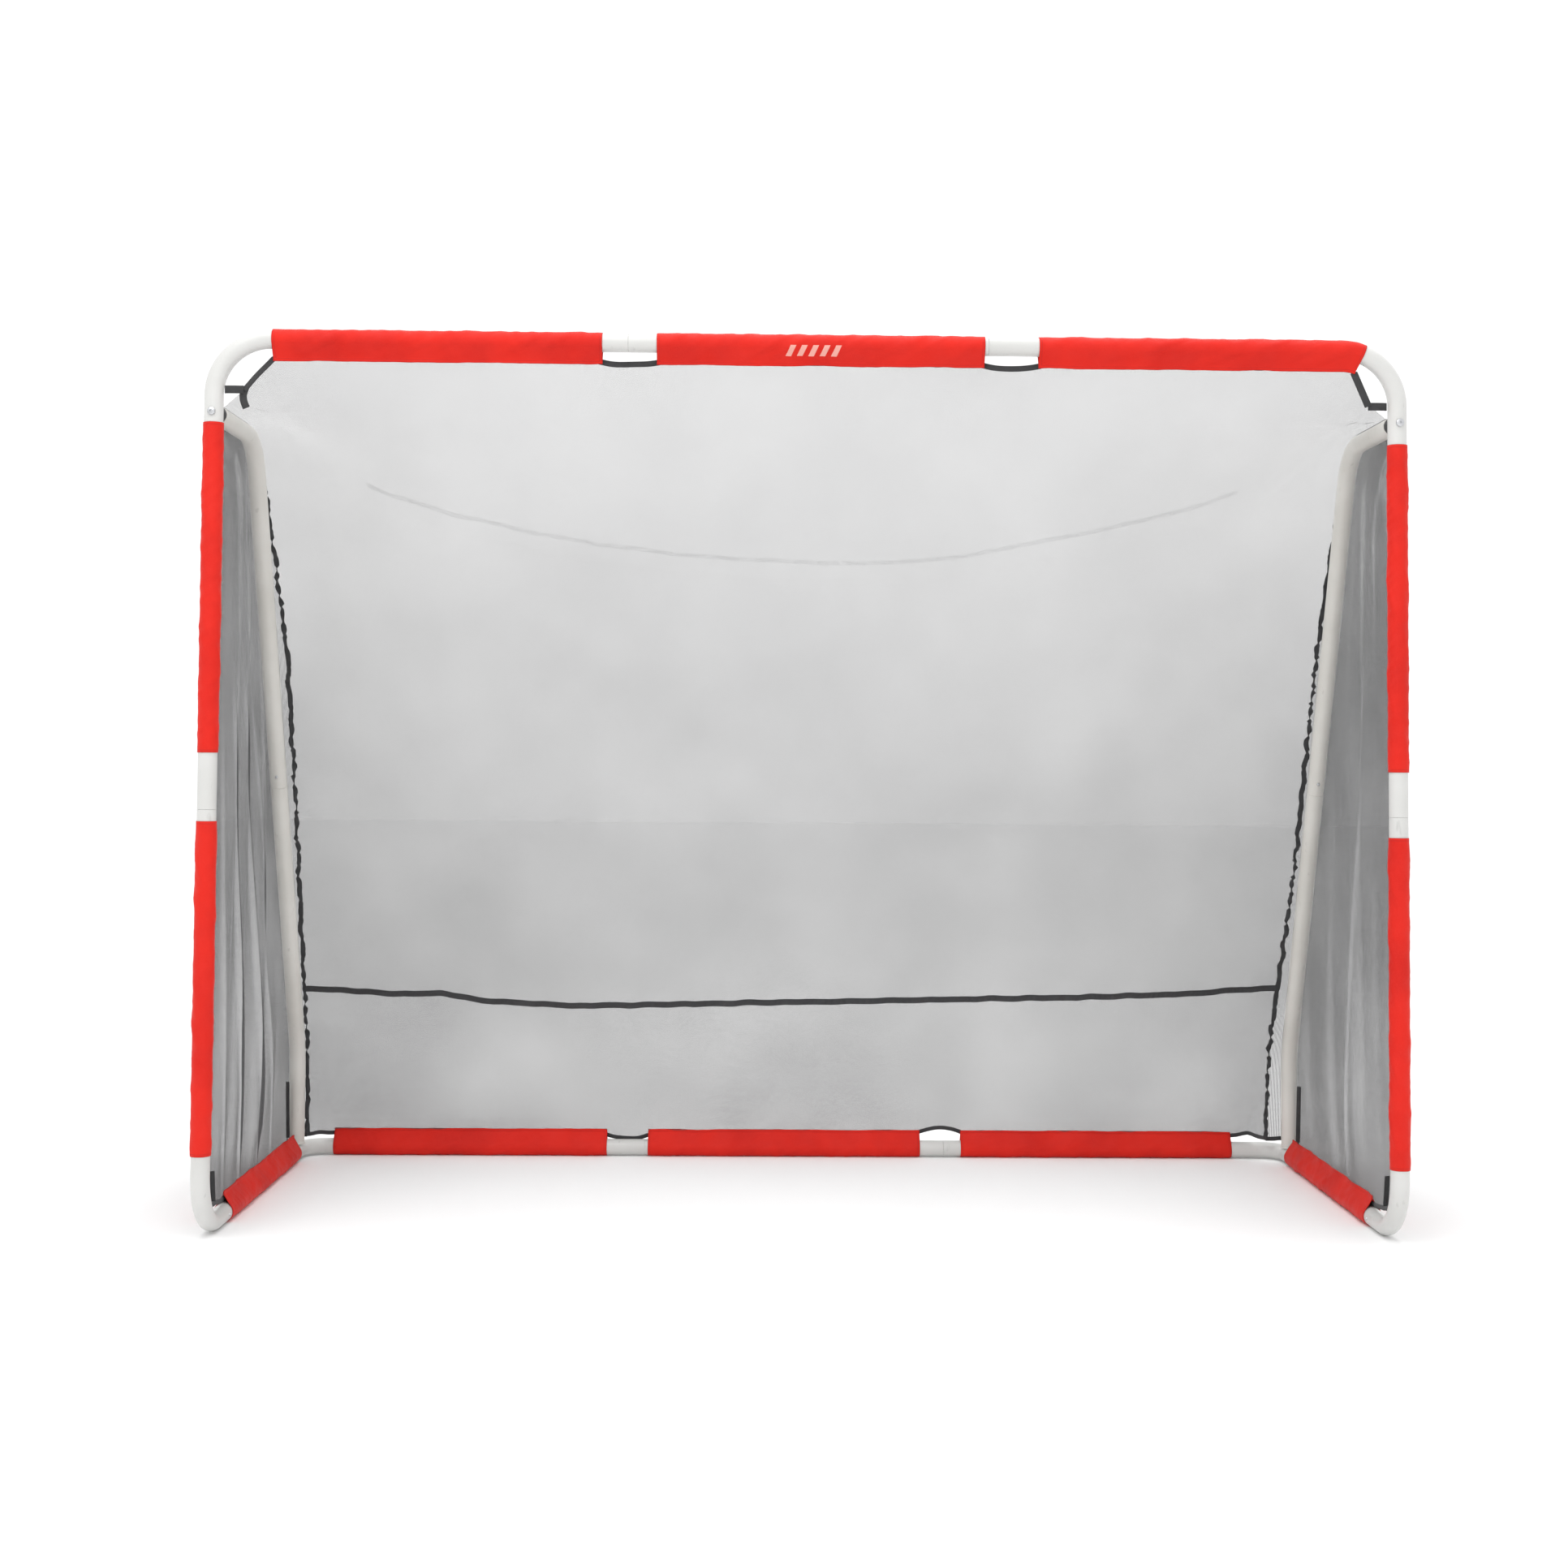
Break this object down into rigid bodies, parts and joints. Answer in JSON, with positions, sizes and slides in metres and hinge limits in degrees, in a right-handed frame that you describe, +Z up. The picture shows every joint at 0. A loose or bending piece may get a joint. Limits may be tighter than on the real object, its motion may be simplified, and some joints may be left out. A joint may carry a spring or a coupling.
{
  "type": "soccer goal frame",
  "caption": "Knock-down soccer goal: white tube frame with rounded corners, red wrap-round sleeves, sloping back stays and a fine-mesh net.",
  "frame": {"origin": "on the ground, at the bottom centre of the whole goal's box", "axes": "+X along the crossbar to the right as seen from the mouth, +Y from the mouth to the back, +Z up"},
  "size_m": [2.4452, 1.0056, 1.83],
  "materials": {
    "painted_steel_tube": "satin off-white powder coat",
    "red_sleeve_fabric": "woven nylon, matt with a slight sheen",
    "net_mesh": "fine knotless dark mesh, see-through",
    "black_webbing": "woven webbing and hem tape",
    "zinc_hardware": "zinc plated",
    "spring_steel": "bright spring strip",
    "black_plastic": "fine-grained moulded plastic"
  },
  "bodies": {
    "frame": {"crossbar_center_tube": "painted_steel_tube", "rear_bar_center_tube": "painted_steel_tube", "top_corner_tube_left": "painted_steel_tube", "top_corner_tube_right": "painted_steel_tube", "lower_corner_tube_left": "painted_steel_tube", "lower_corner_tube_right": "painted_steel_tube", "rear_corner_tube_left": "painted_steel_tube", "rear_corner_tube_right": "painted_steel_tube", "upper_stay_left": "painted_steel_tube", "upper_stay_right": "painted_steel_tube", "lower_stay_left": "painted_steel_tube", "lower_stay_right": "painted_steel_tube", "sleeve_crossbar_left": "red_sleeve_fabric", "sleeve_crossbar_center": "red_sleeve_fabric", "sleeve_crossbar_right": "red_sleeve_fabric", "sleeve_rear_bar_left": "red_sleeve_fabric", "sleeve_rear_bar_center": "red_sleeve_fabric", "sleeve_rear_bar_right": "red_sleeve_fabric", "sleeve_upright_left_lower": "red_sleeve_fabric", "sleeve_upright_left_upper": "red_sleeve_fabric", "sleeve_upright_right_lower": "red_sleeve_fabric", "sleeve_upright_right_upper": "red_sleeve_fabric", "sleeve_side_bar_left": "red_sleeve_fabric", "sleeve_side_bar_right": "red_sleeve_fabric", "net_roof": "net_mesh", "net_back": "net_mesh", "net_side_left": "net_mesh", "net_side_right": "net_mesh", "strap_top_left": "black_webbing", "strap_top_right": "black_webbing", "strap_front_left": "black_webbing", "strap_front_right": "black_webbing", "stay_bolt_left": "zinc_hardware", "stay_bolt_right": "zinc_hardware", "stay_insert_left": "zinc_hardware", "stay_insert_right": "zinc_hardware", "stay_saddle_left": "black_plastic", "stay_saddle_right": "black_plastic", "spring_crossbar_left": "spring_steel", "spring_crossbar_right": "spring_steel", "spring_upright_left": "spring_steel", "spring_upright_right": "spring_steel", "spring_side_bar_left": "spring_steel", "spring_side_bar_right": "spring_steel", "spring_rear_bar_left": "spring_steel", "spring_rear_bar_right": "spring_steel", "spring_stay_left": "spring_steel", "spring_stay_right": "spring_steel"},
    "button_crossbar_left": {"button_crossbar_left": "zinc_hardware"},
    "button_crossbar_right": {"button_crossbar_right": "zinc_hardware"},
    "button_upright_left": {"button_upright_left": "zinc_hardware"},
    "button_upright_right": {"button_upright_right": "zinc_hardware"},
    "button_side_bar_left": {"button_side_bar_left": "zinc_hardware"},
    "button_side_bar_right": {"button_side_bar_right": "zinc_hardware"},
    "button_rear_bar_left": {"button_rear_bar_left": "zinc_hardware"},
    "button_rear_bar_right": {"button_rear_bar_right": "zinc_hardware"},
    "button_stay_left": {"button_stay_left": "zinc_hardware"},
    "button_stay_right": {"button_stay_right": "zinc_hardware"}
  },
  "joints": [
    {"name": "press_crossbar_left", "type": "slide", "parent": "frame", "child": "button_crossbar_left", "axis": [0, -1, 0], "range_m": [0, 0.005], "stiffness_N_per_m": 2000, "springref_m": -0.002, "deforming": ["spring_crossbar_left"]},
    {"name": "press_crossbar_right", "type": "slide", "parent": "frame", "child": "button_crossbar_right", "axis": [0, -1, 0], "range_m": [0, 0.005], "stiffness_N_per_m": 2000, "springref_m": -0.002, "deforming": ["spring_crossbar_right"]},
    {"name": "press_upright_left", "type": "slide", "parent": "frame", "child": "button_upright_left", "axis": [0, -1, 0], "range_m": [0, 0.005], "stiffness_N_per_m": 2000, "springref_m": -0.002, "deforming": ["spring_upright_left"]},
    {"name": "press_upright_right", "type": "slide", "parent": "frame", "child": "button_upright_right", "axis": [0, -1, 0], "range_m": [0, 0.005], "stiffness_N_per_m": 2000, "springref_m": -0.002, "deforming": ["spring_upright_right"]},
    {"name": "press_side_bar_left", "type": "slide", "parent": "frame", "child": "button_side_bar_left", "axis": [-1, 0, 0], "range_m": [0, 0.005], "stiffness_N_per_m": 2000, "springref_m": -0.002, "deforming": ["spring_side_bar_left"]},
    {"name": "press_side_bar_right", "type": "slide", "parent": "frame", "child": "button_side_bar_right", "axis": [1, 0, 0], "range_m": [0, 0.005], "stiffness_N_per_m": 2000, "springref_m": -0.002, "deforming": ["spring_side_bar_right"]},
    {"name": "press_rear_bar_left", "type": "slide", "parent": "frame", "child": "button_rear_bar_left", "axis": [0, -1, 0], "range_m": [0, 0.005], "stiffness_N_per_m": 2000, "springref_m": -0.002, "deforming": ["spring_rear_bar_left"]},
    {"name": "press_rear_bar_right", "type": "slide", "parent": "frame", "child": "button_rear_bar_right", "axis": [0, -1, 0], "range_m": [0, 0.005], "stiffness_N_per_m": 2000, "springref_m": -0.002, "deforming": ["spring_rear_bar_right"]},
    {"name": "press_stay_left", "type": "slide", "parent": "frame", "child": "button_stay_left", "axis": [0, 0.9328, 0.3605], "range_m": [0, 0.005], "stiffness_N_per_m": 2000, "springref_m": -0.002, "deforming": ["spring_stay_left"]},
    {"name": "press_stay_right", "type": "slide", "parent": "frame", "child": "button_stay_right", "axis": [0, 0.9328, 0.3605], "range_m": [0, 0.005], "stiffness_N_per_m": 2000, "springref_m": -0.002, "deforming": ["spring_stay_right"]}
  ]
}
